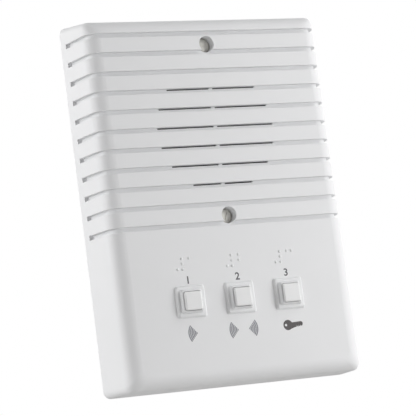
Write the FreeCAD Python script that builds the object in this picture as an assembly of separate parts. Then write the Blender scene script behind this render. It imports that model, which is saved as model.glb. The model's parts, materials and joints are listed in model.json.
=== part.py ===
import FreeCAD, Part
import math
import os

# Indoor intercom unit: a white moulded cover with a grooved speaker grille and three push buttons,
# open at the back, held over a wall box by two long screws.
# Millimetres. X runs to the right as one faces the unit, Y into the wall, Z up.
# The origin is on the wall plane, midway between the two mounting screws.

# Cover
COVER_WIDTH = 129.0
COVER_HEIGHT = 178.1
COVER_DEPTH = 25.4
TOP_MARGIN = 15.35
SIDE_DRAFT = 0.16
TOP_DRAFT = 0.12
BOTTOM_DRAFT = 0.01
EDGE_RADIUS = 6.2
CORNER_RADIUS = 3.4
LEAST_CORNER = 0.2
EDGE_SECTIONS = (0, 3, 9, 18, 30, 42, 54, 66, 76, 84, 88, 90)
WALL = 3.2

# Grille grooves, counted down from the top
GROOVE_COUNT = 11
GROOVE_PITCH = 9.256
FIRST_GROOVE_MARGIN = 6.45
GROOVE_WIDTH = 2.1
GROOVE_DEPTH = 2.0
GROOVE_END = 4.5
GROOVE_EDGE = 0.3

# Speaker slots, one on each side of a bridge, in the grooves that cross the speaker.
# The margins of the top edge and the first groove are counted up from the upper screw.
SLOT_HEIGHT = 0.7
SLOT_MARGIN = 2.4
SLOT_BRIDGE = 1.7
SLOT_SHORTEST = 12.0

# Mounting screws
SCREW_SPACING = 83.3
RECESS_RADIUS = 3.85
RECESS_DEPTH = 6.0
BOSS_WALL = 1.4
BOSS_GAP = 0.4
SCREW_RADIUS = 1.75
SCREW_BLANK_RADIUS = 1.5
SCREW_CLEARANCE = 0.35
SCREW_LENGTH = 28.6
SCREW_HEAD_RADIUS = 3.45
SCREW_HEAD_HEIGHT = 2.1
SCREW_SLOT_WIDTH = 0.9
SCREW_SLOT_DEPTH = 1.0

# Push buttons
BUTTON_COUNT = 3
BUTTON_PITCH = 25.8
BUTTON_DROP = 81.4
BUTTON_TRAVEL = 1.5
FRAME_SIZE = 15.3
FRAME_STEP = 1.2
FRAME_LEAN = 0.8
FRAME_LEDGE = 1.2
FRAME_RISE = 2.9
FRAME_LAND = 0.3
FRAME_CORNER = 1.0
FRAME_EDGE = 0.2
CAP_SIZE = 8.8
CAP_CLEARANCE = 0.25
CAP_CORNER = 0.9
CAP_PROUD = 4.0
CAP_EDGE = 0.8
CAP_SKIN = 1.3
CAP_FLANGE_OVERLAP = 1.4
CAP_FLANGE = 1.2
CAP_REST_GAP = 0.1
SOCKET_WALL = 1.0
SOCKET_DEPTH = 3.5

# Plungers, springs and switches
PLUNGER_RADIUS = 1.5
PLUNGER_CLEARANCE = 0.08
PLUNGER_ENGAGED = 1.8
COLLAR_RADIUS = 3.2
COLLAR_THICKNESS = 0.8
SPRING_WIRE = 0.45
SPRING_RADIUS = 2.4
SPRING_TURNS = 3
SPRING_SEAT_GAP = 0.03
SWITCH_SIZE = 12.0
SWITCH_HEIGHT = 4.4
SWITCH_CORNER = 0.6
SWITCH_FLOOR = 0.8
PIN_WIDTH = 0.9
PIN_THICKNESS = 0.4
PIN_STICK_OUT = 1.2
PIN_INSET = 1.0
PIN_CLEARANCE = 0.1

# Raised dots for reading by touch: a number sign and a digit over each button
DOT_PITCH = 2.54
DOT_CELL = 6.35
DOT_RADIUS = 0.75
DOT_HEIGHT = 0.5
DOT_RISE = 20.4
NUMBER_SIGN = (3, 4, 5, 6)
DIGIT_DOTS = ((1,), (1, 2), (1, 4))

# Speaker, stacked backwards from the inner face of the cover
SPEAKER_GAP = 3.4
CLOTH_THICKNESS = 0.3
GASKET_THICKNESS = 0.8
GASKET_WIDTH = 3.4
FLANGE_WIDTH = 4.8
BASKET_SHEET = 0.8
BASKET_DEPTH = 9.4
BASKET_FLOOR = 14.7
BASKET_BORE = 7.0
WINDOW_COUNT = 4
WINDOW_WIDTH = 15.0
WINDOW_MARGIN_IN = 2.1
WINDOW_MARGIN_OUT = 2.4
ROLL_RADIUS = 1.4
ROLL_GAP = 0.2
ROLL_SHEET = 0.3
LIP_WIDTH = 1.2
CONE_LIP_INSET = 0.3
CONE_DEPTH = 6.4
CONE_SHEET = 0.4
DUST_CAP_RADIUS = 7.2
DUST_CAP_RISE = 2.2
DUST_CAP_SHEET = 0.3
FORMER_RADIUS = 5.9
FORMER_SHEET = 0.25
FORMER_LENGTH = 6.0
WINDING_THICKNESS = 0.3
WINDING_LENGTH = 3.0
GAP_CLEARANCE = 0.35
SPIDER_OUTER = 14.0
SPIDER_SHEET = 0.3
SPIDER_WAVE = 0.7
SPIDER_WAVES = 3
TOP_PLATE_RADIUS = 13.5
TOP_PLATE = 2.0
MAGNET_RADIUS = 16.0
MAGNET_BORE = 8.6
MAGNET_THICKNESS = 4.0
YOKE_RADIUS = 13.5
YOKE_PLATE = 2.0
POLE_RADIUS = 5.6

# Speaker seat and clamps
SEAT_CLEARANCE = 0.3
SEAT_WALL = 0.9
SEAT_HEIGHT = 1.5
CLAMP_ANGLES = (35.0, 145.0, 215.0, 325.0)
CLAMP_SHEET = 0.8
CLAMP_WIDTH = 6.0
CLAMP_REACH = 2.8
CLAMP_POST_RADIUS = 3.2
CLAMP_POST_OFFSET = 5.5
CLAMP_STEP = 4.0
CLAMP_GAP = 0.2
SMALL_SCREW_RADIUS = 1.1
SMALL_SCREW_BITE = 4.5
SMALL_SCREW_HEAD = 2.3
SMALL_SCREW_HEAD_HEIGHT = 1.5
SMALL_SCREW_TIP_GAP = 0.8
CROSS_WIDTH = 0.7
CROSS_LENGTH = 2.6
CROSS_DEPTH = 0.8

# Speaker tag strip
STRIP_ANGLE = 239.3
STRIP_LEG_INSET = 2.65
STRIP_LENGTH = 12.0
STRIP_WIDTH = 8.0
STRIP_THICKNESS = 1.0
STRIP_STAND_OFF = 4.5
STRIP_LEG_LENGTH = 4.0
STRIP_LEG_WIDTH = 2.6
STRIP_LEG_DROP = 2.1
STRIP_LEG_SHIFT = 2.5
TAG_SPACING = 5.0
TAG_WIDTH = 2.0
TAG_THICKNESS = 0.5
TAG_LENGTH = 9.0
TAG_STICK_OUT = 3.5
TAG_SHIFT = -1.0

# Circuit board
BOARD_WIDTH = 100.0
BOARD_TOP_GAP = 4.1
BOARD_BOTTOM_MARGIN = 10.1
BOARD_THICKNESS = 1.6
BOARD_STAND_OFF = 11.2
BOARD_CORNER = 2.0
BOARD_HOLE_INSET = 5.0
BOARD_BOSS_RADIUS = 3.4
BOARD_HOLE_CLEARANCE = 0.3
RIB_GAP = 2.1
RIB_THICKNESS = 1.6
RIB_HEIGHT = 6.0

# Parts on the back of the board
TERMINAL_WAYS = 8
TERMINAL_PITCH = 5.0
TERMINAL_DEPTH = 9.0
TERMINAL_HEIGHT = 8.2
TERMINAL_INSET = 12.0
TERMINAL_WELL = 1.9
TERMINAL_WELL_DEPTH = 2.6
TERMINAL_ENTRY = 1.3
TERMINAL_ENTRY_DEPTH = 3.5
TERMINAL_ENTRY_LEVEL = 2.9
TERMINAL_SCREW_RADIUS = 1.7
TERMINAL_SCREW_HEIGHT = 1.4
HEADER_X = -28.0
HEADER_WIDTH = 7.6
HEADER_LENGTH = 6.0
HEADER_HEIGHT = 5.2
HEADER_WALL = 0.9
HEADER_FLOOR = 1.4
HEADER_EDGE_GAP = 3.0
HEADER_PIN_PITCH = 2.5
HEADER_PIN = 0.6
HEADER_PIN_LENGTH = 3.6
PLUG_LENGTH = 8.4
PLUG_CLEARANCE = 0.1
PLUG_EDGE = 0.3

# Speaker leads
LEAD_RADIUS = 0.65
LEAD_BEND = 0.45

# Parts on the front of the board: X, and distance down from its top edge
CAPACITOR_RADIUS = 3.15
CAPACITOR_HEIGHT = 8.5
CAPACITOR_EDGE = 0.4
CAPACITOR_PLACES = ((-36.0, 12.0), (36.0, 14.0), (10.0, 12.0))
RESISTOR_RADIUS = 1.15
RESISTOR_LENGTH = 6.4
RESISTOR_WAIST = 0.25
RESISTOR_PLACES = ((-24.0, 6.0), (-24.0, 10.0), (24.0, 6.0), (24.0, 10.0), (24.0, 14.0))
CHIP_LENGTH = 9.6
CHIP_WIDTH = 6.4
CHIP_HEIGHT = 3.3
CHIP_LIFT = 0.5
CHIP_X = -9.0
CHIP_INSET = 12.0
CHIP_PITCH = 2.54
CHIP_LEGS = 4
CHIP_LEG_WIDTH = 0.5
CHIP_LEG_SHEET = 0.25
CHIP_LEG_LEVEL = 1.4

FRONT = -COVER_DEPTH
INNER_FACE = FRONT + WALL
COVER_TOP = SCREW_SPACING / 2 + TOP_MARGIN
COVER_BOTTOM = COVER_TOP - COVER_HEIGHT
FIRST_GROOVE = SCREW_SPACING / 2 + FIRST_GROOVE_MARGIN
BOSS_RADIUS = RECESS_RADIUS + BOSS_WALL
LOWER_BOSS_END = -SCREW_SPACING / 2 - BOSS_RADIUS
SPEAKER_RADIUS = SCREW_SPACING / 2 - BOSS_RADIUS - SPEAKER_GAP
SLOT_CIRCLE = SPEAKER_RADIUS - SLOT_MARGIN
BASKET_MOUTH = SPEAKER_RADIUS - FLANGE_WIDTH
ROLL_MIDDLE = BASKET_MOUTH - ROLL_RADIUS - ROLL_GAP
INNER_LIP = ROLL_MIDDLE - ROLL_RADIUS + ROLL_SHEET
CONE_OUTER = INNER_LIP - CONE_LIP_INSET
OPENING_SIZE = CAP_SIZE + 2 * CAP_CLEARANCE
OPENING_CORNER = CAP_CORNER + CAP_CLEARANCE
BOARD_FRONT = INNER_FACE + BOARD_STAND_OFF
BOARD_BACK = BOARD_FRONT + BOARD_THICKNESS
BOARD_TOP = LOWER_BOSS_END - BOARD_TOP_GAP
BOARD_BOTTOM = COVER_BOTTOM + BOARD_BOTTOM_MARGIN
TERMINAL_Z = BOARD_TOP - TERMINAL_INSET
CHIP_Z = BOARD_TOP - CHIP_INSET
CAP_FLANGE_FRONT = INNER_FACE + CAP_REST_GAP
CAP_FLANGE_BACK = CAP_FLANGE_FRONT + CAP_FLANGE
SWITCH_TOP = BOARD_FRONT - SWITCH_HEIGHT
SPEAKER_FRONT = INNER_FACE + CLOTH_THICKNESS + GASKET_THICKNESS
FLANGE_BACK = SPEAKER_FRONT + BASKET_SHEET
BASKET_BACK = SPEAKER_FRONT + BASKET_DEPTH
CLAMP_POST_TOP = FLANGE_BACK + CLAMP_STEP
EMBED = 0.5
BACKWARD = FreeCAD.Vector(0, 1, 0)


def vec(x, y, z):
    return FreeCAD.Vector(x, y, z)


def block(x0, x1, y0, y1, z0, z1):
    return Part.makeBox(x1 - x0, y1 - y0, z1 - z0, vec(x0, y0, z0))


def block_at(x, z, width, height, y0, y1):
    return block(x - width / 2, x + width / 2, y0, y1, z - height / 2, z + height / 2)


def disc(radius, y0, y1, x=0.0, z=0.0):
    return Part.makeCylinder(radius, y1 - y0, vec(x, y0, z), BACKWARD)


def ring(outer, inner, y0, y1, x=0.0, z=0.0):
    return disc(outer, y0, y1, x, z).cut(disc(inner, y0 - 1, y1 + 1, x, z))


def turned(profile):
    """Solid of revolution about the Y axis from (radius, y) corners."""
    corners = [vec(r, y, 0) for r, y in profile]
    face = Part.Face(Part.makePolygon(corners + corners[:1]))
    return face.revolve(vec(0, 0, 0), BACKWARD, 360)


def polar(radius, angle, y=0.0):
    a = math.radians(angle)
    return vec(radius * math.cos(a), y, radius * math.sin(a))


def turned_to(shape, angle):
    """Turns a shape that lies along +X to an angle in the face's plane, counted from +X towards +Z."""
    copy = shape.copy()
    copy.rotate(vec(0, 0, 0), vec(0, -1, 0), angle)
    return copy


def rounded_outline(x0, x1, z0, z1, radius, y):
    """Closed wire of a rectangle with round corners, in a plane across Y."""
    r = min(radius, 0.475 * min(x1 - x0, z1 - z0))
    k = r * (1 - math.sqrt(0.5))
    edges = []
    for u, v, su, sv in ((x1, z0, 1, -1), (x1, z1, 1, 1), (x0, z1, -1, 1), (x0, z0, -1, -1)):
        beside = vec(u, y, v - sv * r)
        along = vec(u - su * r, y, v)
        first, last = (along, beside) if su * sv < 0 else (beside, along)
        if edges:
            edges.append(Part.LineSegment(here, first).toShape())
        else:
            start = first
        edges.append(Part.Arc(first, vec(u - su * k, y, v - sv * k), last).toShape())
        here = last
    edges.append(Part.LineSegment(here, start).toShape())
    return Part.Wire(edges)


def rounded_square(size, radius, y, x, z):
    h = size / 2
    return rounded_outline(x - h, x + h, z - h, z + h, radius, y)


def square_bar(size, radius, y0, y1, x, z):
    face = Part.Face(rounded_square(size, radius, y0, x, z))
    return face.extrude(vec(0, y1 - y0, 0))


def write(name, shape):
    shape.exportStep("parts/" + name + ".step")
    print(name, "solids", len(shape.Solids), "valid", shape.isValid(), "volume", round(shape.Volume, 2))


def group(shapes):
    return Part.makeCompound(shapes)


def half_width(y):
    return COVER_WIDTH / 2 + SIDE_DRAFT * y


def cover_form(inset, y_back):
    """The drafted, rounded box of the cover with every wall moved in by one distance."""
    side = inset * math.hypot(1, SIDE_DRAFT)
    top_in = inset * math.hypot(1, TOP_DRAFT)
    low_in = inset * math.hypot(1, BOTTOM_DRAFT)
    corner = max(CORNER_RADIUS - inset, LEAST_CORNER)
    edge = EDGE_RADIUS - inset

    def outline(y, more):
        w = half_width(y) - side - more
        top = COVER_TOP + TOP_DRAFT * y - top_in - more
        low = COVER_BOTTOM - BOTTOM_DRAFT * y + low_in + more
        return rounded_outline(-w, w, low, top, corner, y)

    y_edge = FRONT + inset + edge
    front = []
    for degrees in EDGE_SECTIONS:
        a = math.radians(degrees)
        front.append(outline(y_edge - edge * math.sin(a), edge * (1 - math.cos(a))))
    body = Part.makeLoft([outline(y_back, 0), front[0]], True, True)
    return body.fuse(Part.makeLoft(front, True, False))


def groove_top(k):
    return FIRST_GROOVE - k * GROOVE_PITCH


def grooves():
    """Bands that run over the face and round to both sides, less the cover's inner part."""
    reach = COVER_WIDTH
    bands = []
    for k in range(GROOVE_COUNT):
        z = groove_top(k)
        bands.append(block(-reach, reach, FRONT - 1, -GROOVE_END, z - GROOVE_WIDTH, z))
    return group(bands).cut(cover_form(GROOVE_DEPTH, 1.0))


def soft_groove_edges(body):
    """Rounds the long edges of every groove, over the face and both sides."""
    levels = []
    for k in range(GROOVE_COUNT):
        levels += [groove_top(k), groove_top(k) - GROOVE_WIDTH]
    skin = cover_form(GROOVE_DEPTH / 2, 1.0)
    chosen = []
    for edge in body.Edges:
        box = edge.BoundBox
        level = (box.ZMin + box.ZMax) / 2
        flat = box.ZLength < 1e-6 and any(abs(level - z) < 1e-6 for z in levels)
        middle = edge.valueAt((edge.FirstParameter + edge.LastParameter) / 2)
        if flat and not skin.isInside(middle, 1e-6, True):
            chosen.append(edge)
    return body.makeFillet(GROOVE_EDGE, chosen)


def speaker_slots():
    slots = []
    for k in range(GROOVE_COUNT):
        z = groove_top(k)
        middle = z - SLOT_HEIGHT / 2
        half_squared = SLOT_CIRCLE ** 2 - middle ** 2
        if half_squared < SLOT_SHORTEST ** 2:
            continue
        half = math.sqrt(half_squared)
        for side in (-1, 1):
            x0, x1 = sorted((side * SLOT_BRIDGE / 2, side * half))
            slots.append(block(x0, x1, FRONT - 1, INNER_FACE + 1, z - SLOT_HEIGHT, z))
    return slots


def screw_heights():
    return (SCREW_SPACING / 2, -SCREW_SPACING / 2)


def button_xs():
    return [(i - (BUTTON_COUNT - 1) / 2) * BUTTON_PITCH for i in range(BUTTON_COUNT)]


def frame_tier(low_size, high_size, low, high, x):
    """Four slopes from one square to a smaller one, with the top edge rounded."""
    z = -BUTTON_DROP
    squares = [rounded_square(low_size, FRAME_CORNER, low, x, z),
               rounded_square(high_size, FRAME_CORNER, high, x, z)]
    tier = Part.makeLoft(squares, True, True)
    rim = [e for e in tier.Edges if all(abs(v.Y - high) < 1e-6 for v in e.Vertexes)]
    return tier.makeFillet(FRAME_EDGE, rim)


def button_frame(x):
    """Raised square frame of two tiers: slopes up to a flat ledge, then more slopes up to a narrow land."""
    step = FRONT - FRAME_STEP
    shelf = FRAME_SIZE - 2 * FRAME_LEAN
    root = square_bar(FRAME_SIZE, FRAME_CORNER, FRONT, FRONT + EMBED, x, -BUTTON_DROP)
    lower = frame_tier(FRAME_SIZE, shelf, FRONT, step, x)
    upper = frame_tier(shelf - 2 * FRAME_LEDGE, OPENING_SIZE + 2 * FRAME_LAND, step, FRONT - FRAME_RISE, x)
    return root.fuse([lower, upper])


def button_opening(x):
    return square_bar(OPENING_SIZE, OPENING_CORNER, FRONT - FRAME_RISE - 1, INNER_FACE + 1, x, -BUTTON_DROP)


def raised_dots():
    """Number sign and digit as raised domes, centred over each button."""
    sphere_radius = (DOT_RADIUS ** 2 + DOT_HEIGHT ** 2) / (2 * DOT_HEIGHT)
    domes = []
    for x, digit in zip(button_xs(), DIGIT_DOTS):
        left = x - (DOT_CELL + DOT_PITCH) / 2
        for cell, dots in enumerate((NUMBER_SIGN, digit)):
            for dot in dots:
                column, row = divmod(dot - 1, 3)
                centre = vec(left + cell * DOT_CELL + column * DOT_PITCH,
                             FRONT - DOT_HEIGHT + sphere_radius,
                             DOT_RISE - BUTTON_DROP - row * DOT_PITCH)
                ball = Part.makeSphere(sphere_radius, centre)
                keep = disc(DOT_RADIUS * 1.5, FRONT - DOT_HEIGHT - 1, FRONT + EMBED / 2, centre.x, centre.z)
                domes.append(ball.common(keep))
    return domes


def board_hole_places():
    x = BOARD_WIDTH / 2 - BOARD_HOLE_INSET
    high = BOARD_TOP - BOARD_HOLE_INSET
    low = BOARD_BOTTOM + BOARD_HOLE_INSET
    return [(-x, high), (x, high), (-x, low), (x, low)]


def clamp_places():
    """Centre of each clamp's post, out past the speaker's flange."""
    return [polar(SPEAKER_RADIUS + CLAMP_POST_OFFSET, a) for a in CLAMP_ANGLES]


def front_cover():
    body = cover_form(0.0, 0.0)
    body = soft_groove_edges(body.cut(grooves()))
    body = body.cut(cover_form(WALL, 1.0))
    root = INNER_FACE - EMBED
    added = [button_frame(x) for x in button_xs()] + raised_dots()
    added += [disc(BOSS_RADIUS, root, -BOSS_GAP, 0, z) for z in screw_heights()]
    added += [disc(CLAMP_POST_RADIUS, root, CLAMP_POST_TOP, p.x, p.z) for p in clamp_places()]
    added += [disc(BOARD_BOSS_RADIUS, root, BOARD_FRONT, x, z) for x, z in board_hole_places()]
    seat = SPEAKER_RADIUS + SEAT_CLEARANCE
    added.append(ring(seat + SEAT_WALL, seat, root, INNER_FACE + SEAT_HEIGHT))
    added.append(cross_rib(root))
    body = body.fuse(added)
    cuts = speaker_slots() + [button_opening(x) for x in button_xs()]
    for z in screw_heights():
        cuts.append(disc(RECESS_RADIUS, FRONT - 1, FRONT + RECESS_DEPTH, 0, z))
        cuts.append(disc(SCREW_RADIUS + SCREW_CLEARANCE, FRONT, 1, 0, z))
    for p in clamp_places():
        cuts.append(disc(SMALL_SCREW_RADIUS, CLAMP_POST_TOP - SMALL_SCREW_BITE, CLAMP_POST_TOP + 1, p.x, p.z))
    for x, z in board_hole_places():
        cuts.append(disc(SMALL_SCREW_RADIUS, BOARD_FRONT - SMALL_SCREW_BITE, BOARD_FRONT + 1, x, z))
    return body.cut(cuts)


def cross_rib(root):
    """Stiffening rib between the speaker and the board, run into both side walls."""
    reach = half_width(FRONT) - WALL / 2
    middle = LOWER_BOSS_END - RIB_GAP
    return block(-reach, reach, root, INNER_FACE + RIB_HEIGHT,
                 middle - RIB_THICKNESS / 2, middle + RIB_THICKNESS / 2)


def mounting_screw(z):
    """Pan-head screw: a plain blank through the cover, its thread from the wall plane on."""
    seat = FRONT + RECESS_DEPTH
    shank = disc(SCREW_BLANK_RADIUS, seat - EMBED, EMBED, 0, z)
    thread = disc(SCREW_RADIUS, 0, seat + SCREW_LENGTH, 0, z)
    tip = [e for e in thread.Edges if abs(e.CenterOfMass.y - seat - SCREW_LENGTH) < 1e-6]
    shank = shank.fuse(thread.makeChamfer(SCREW_RADIUS * 0.3, tip))
    head = disc(SCREW_HEAD_RADIUS, seat - SCREW_HEAD_HEIGHT, seat, 0, z)
    rim = [e for e in head.Edges if abs(e.CenterOfMass.y - seat + SCREW_HEAD_HEIGHT) < 1e-6]
    head = head.makeFillet(SCREW_HEAD_HEIGHT * 0.55, rim)
    slot = block_at(0, z, SCREW_SLOT_WIDTH, 3 * SCREW_HEAD_RADIUS,
                    seat - SCREW_HEAD_HEIGHT - 1, seat - SCREW_HEAD_HEIGHT + SCREW_SLOT_DEPTH)
    return head.fuse(shank).cut(slot)


def small_screw(seat, x, z, bite):
    """Pan-head screw driven towards the face: its head's underside at seat, its thread bite deep."""
    head = disc(SMALL_SCREW_HEAD, seat, seat + SMALL_SCREW_HEAD_HEIGHT, x, z)
    rim = [e for e in head.Edges if abs(e.CenterOfMass.y - seat - SMALL_SCREW_HEAD_HEIGHT) < 1e-6]
    head = head.makeFillet(SMALL_SCREW_HEAD_HEIGHT * 0.5, rim)
    shank = disc(SMALL_SCREW_RADIUS, seat - bite, seat + EMBED, x, z)
    top = seat + SMALL_SCREW_HEAD_HEIGHT
    cross = block_at(x, z, CROSS_WIDTH, CROSS_LENGTH, top - CROSS_DEPTH, top + 1)
    cross = cross.fuse(block_at(x, z, CROSS_LENGTH, CROSS_WIDTH, top - CROSS_DEPTH, top + 1))
    return head.fuse(shank).cut(cross)


def button_cap(x):
    """Hollow square cap with a retaining flange behind the face and a socket for the plunger."""
    z = -BUTTON_DROP
    top = FRONT - CAP_PROUD
    stem = square_bar(CAP_SIZE, CAP_CORNER, top, CAP_FLANGE_BACK, x, z)
    rim = [e for e in stem.Edges if all(abs(v.Y - top) < 1e-6 for v in e.Vertexes)]
    stem = stem.makeFillet(CAP_EDGE, rim)
    hollow = square_bar(CAP_SIZE - 2 * CAP_SKIN, CAP_CORNER / 2, top + CAP_SKIN, CAP_FLANGE_BACK + 1, x, z)
    flange_size = OPENING_SIZE + 2 * CAP_FLANGE_OVERLAP
    flange = square_bar(flange_size, CAP_CORNER, CAP_FLANGE_FRONT, CAP_FLANGE_BACK, x, z)
    socket_radius = PLUNGER_RADIUS + SOCKET_WALL
    socket = disc(socket_radius, top + CAP_SKIN - EMBED, CAP_FLANGE_BACK, x, z)
    bore = disc(PLUNGER_RADIUS, CAP_FLANGE_BACK - SOCKET_DEPTH, CAP_FLANGE_BACK + 1, x, z)
    return stem.fuse(flange).cut(hollow).fuse(socket).cut(bore)


def plunger_end():
    return SWITCH_TOP + PLUNGER_ENGAGED


def plunger(x):
    z = -BUTTON_DROP
    rod = disc(PLUNGER_RADIUS, CAP_FLANGE_BACK - SOCKET_DEPTH, plunger_end(), x, z)
    collar = disc(COLLAR_RADIUS, CAP_FLANGE_BACK, CAP_FLANGE_BACK + COLLAR_THICKNESS, x, z)
    return rod.fuse(collar)


def switch_well_depth():
    return PLUNGER_ENGAGED + BUTTON_TRAVEL + PLUNGER_CLEARANCE * 4


def switch_housing(x):
    z = -BUTTON_DROP
    body = square_bar(SWITCH_SIZE, SWITCH_CORNER, SWITCH_TOP, BOARD_FRONT, x, z)
    well = disc(PLUNGER_RADIUS + PLUNGER_CLEARANCE, SWITCH_TOP - 1, SWITCH_TOP + switch_well_depth(), x, z)
    return body.cut(well)


def pin_places(x):
    side = SWITCH_SIZE / 2 - PIN_INSET
    return [(x + sx * side, -BUTTON_DROP + sz * side) for sx in (-1, 1) for sz in (-1, 1)]


def switch_pins():
    pins = []
    for x in button_xs():
        for px, pz in pin_places(x):
            pins.append(block_at(px, pz, PIN_THICKNESS, PIN_WIDTH, BOARD_FRONT, BOARD_BACK + PIN_STICK_OUT))
    return group(pins)


def arc_between(start, tangent, end):
    """Arc that leaves start along tangent and arrives at end."""
    chord = end.sub(start)
    across = chord.sub(FreeCAD.Vector(tangent).multiply(chord.dot(tangent)))
    if across.Length < 1e-6:
        return Part.LineSegment(start, end).toShape()
    across.normalize()
    radius = chord.dot(chord) / (2 * chord.dot(across))
    centre = start.add(FreeCAD.Vector(across).multiply(radius))
    bulge = start.add(end).sub(FreeCAD.Vector(centre).multiply(2)).normalize()
    middle = centre.add(bulge.multiply(radius))
    return Part.Arc(start, middle, end).toShape()


def biarc(p0, t0, p1, t1):
    """Two arcs from p0 to p1 that keep the tangents t0 and t1."""
    chord = p1.sub(p0)
    both = t0.add(t1)
    spread = 2 * (1 - t0.dot(t1))
    reach = (-chord.dot(both) + math.sqrt(chord.dot(both) ** 2 + spread * chord.dot(chord))) / spread
    joint = p0.add(p1).add(t0.sub(t1).multiply(reach)).multiply(0.5)
    second = arc_between(p1, FreeCAD.Vector(t1).multiply(-1), joint)
    return [arc_between(p0, t0, joint), second]


def tube(edges, radius, start, tangent):
    """Round wire swept along a path of lines and arcs."""
    path = Part.Wire(Part.sortEdges(edges)[0])
    profile = Part.Wire(Part.makeCircle(radius, start, tangent))
    return path.makePipeShell([profile], True, False)


def return_spring(x):
    """Compression spring round the plunger, between its collar and the switch."""
    wire = SPRING_WIRE / 2
    first = CAP_FLANGE_BACK + COLLAR_THICKNESS + wire + SPRING_SEAT_GAP
    last = SWITCH_TOP - wire - SPRING_SEAT_GAP
    steps = SPRING_TURNS * 4
    rise = (last - first) / steps
    slope = rise / (math.pi / 2)

    def spot(i):
        a = i * math.pi / 2
        return vec(x + SPRING_RADIUS * math.cos(a), first + i * rise,
                   -BUTTON_DROP + SPRING_RADIUS * math.sin(a))

    def heading(i):
        a = i * math.pi / 2
        return vec(-SPRING_RADIUS * math.sin(a), slope, SPRING_RADIUS * math.cos(a)).normalize()

    edges = []
    for i in range(steps):
        edges += biarc(spot(i), heading(i), spot(i + 1), heading(i + 1))
    gap = 4 * rise - SPRING_WIRE
    print("return spring: least gap between turns", round(gap, 2))
    return tube(edges, wire, spot(0), heading(0))


def speaker_cloth():
    return disc(SPEAKER_RADIUS, INNER_FACE, INNER_FACE + CLOTH_THICKNESS)


def speaker_gasket():
    y0 = INNER_FACE + CLOTH_THICKNESS
    return ring(SPEAKER_RADIUS, SPEAKER_RADIUS - GASKET_WIDTH, y0, y0 + GASKET_THICKNESS)


def basket_slope():
    """Run outwards per unit of depth along the basket's conical wall."""
    return (BASKET_MOUTH - BASKET_FLOOR) / (BASKET_DEPTH - 2 * BASKET_SHEET)


def strip_leg():
    return polar(SPEAKER_RADIUS - STRIP_LEG_INSET, STRIP_ANGLE)


def strip_centre():
    return strip_leg().add(vec(-STRIP_LEG_SHIFT, 0, STRIP_LEG_DROP))


def strip_leg_box():
    at = strip_leg()
    return block_at(at.x, at.z, STRIP_LEG_LENGTH, STRIP_LEG_WIDTH,
                    FLANGE_BACK - EMBED, FLANGE_BACK + STRIP_STAND_OFF)


def speaker_basket():
    floor_front = BASKET_BACK - BASKET_SHEET
    skin = BASKET_SHEET * math.hypot(1, basket_slope())
    profile = [
        (SPEAKER_RADIUS, SPEAKER_FRONT),
        (SPEAKER_RADIUS, FLANGE_BACK),
        (BASKET_MOUTH + skin, FLANGE_BACK),
        (BASKET_FLOOR + skin - BASKET_SHEET * basket_slope(), BASKET_BACK),
        (BASKET_BORE, BASKET_BACK),
        (BASKET_BORE, floor_front),
        (BASKET_FLOOR, floor_front),
        (BASKET_MOUTH, FLANGE_BACK),
        (BASKET_MOUTH, SPEAKER_FRONT),
    ]
    body = turned(profile)
    window = block(BASKET_FLOOR + WINDOW_MARGIN_IN, BASKET_MOUTH - WINDOW_MARGIN_OUT,
                   FLANGE_BACK + BASKET_SHEET, BASKET_BACK + 1, -WINDOW_WIDTH / 2, WINDOW_WIDTH / 2)
    windows = [turned_to(window, i * 360.0 / WINDOW_COUNT) for i in range(WINDOW_COUNT)]
    return body.cut(windows).fuse(strip_leg_box())


def speaker_surround():
    """Half roll that joins the cone to the flange, with a flat lip on each side."""
    y0 = SPEAKER_FRONT - ROLL_SHEET
    centre = vec(0, y0, 0)
    roll = Part.makeTorus(ROLL_MIDDLE, ROLL_RADIUS, centre, BACKWARD)
    roll = roll.cut(Part.makeTorus(ROLL_MIDDLE, ROLL_RADIUS - ROLL_SHEET, centre, BACKWARD))
    behind = ring(ROLL_MIDDLE + 2 * ROLL_RADIUS, ROLL_MIDDLE - 2 * ROLL_RADIUS, y0, y0 + 2 * ROLL_RADIUS)
    roll = roll.common(behind)
    outer = ROLL_MIDDLE + ROLL_RADIUS - ROLL_SHEET
    lips = [ring(outer + LIP_WIDTH, outer, y0, SPEAKER_FRONT),
            ring(INNER_LIP, INNER_LIP - LIP_WIDTH, y0, SPEAKER_FRONT)]
    return roll.fuse(lips)


def cone_slope():
    return CONE_DEPTH / (CONE_OUTER - FORMER_RADIUS - FORMER_SHEET)


def cone_front(radius):
    return SPEAKER_FRONT + (CONE_OUTER - radius) * cone_slope()


def speaker_cone():
    neck = FORMER_RADIUS + FORMER_SHEET
    sheet = CONE_SHEET * math.hypot(1, cone_slope())
    profile = [
        (CONE_OUTER, SPEAKER_FRONT),
        (CONE_OUTER, SPEAKER_FRONT + sheet),
        (neck, cone_front(neck) + sheet),
        (neck, cone_front(neck)),
    ]
    return turned(profile)


def speaker_dust_cap():
    ball = (DUST_CAP_RADIUS ** 2 + DUST_CAP_RISE ** 2) / (2 * DUST_CAP_RISE)
    rim = cone_front(DUST_CAP_RADIUS)
    centre = vec(0, rim - DUST_CAP_RISE + ball, 0)
    shell = Part.makeSphere(ball, centre).cut(Part.makeSphere(ball - DUST_CAP_SHEET, centre))
    return shell.common(disc(DUST_CAP_RADIUS + 1, rim - DUST_CAP_RISE - 1, rim))


def former_front():
    return cone_front(FORMER_RADIUS + FORMER_SHEET)


def coil_former():
    return ring(FORMER_RADIUS + FORMER_SHEET, FORMER_RADIUS, former_front(), former_front() + FORMER_LENGTH)


def coil_winding():
    inner = FORMER_RADIUS + FORMER_SHEET
    back = former_front() + FORMER_LENGTH
    return ring(inner + WINDING_THICKNESS, inner, back - WINDING_LENGTH, back)


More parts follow.
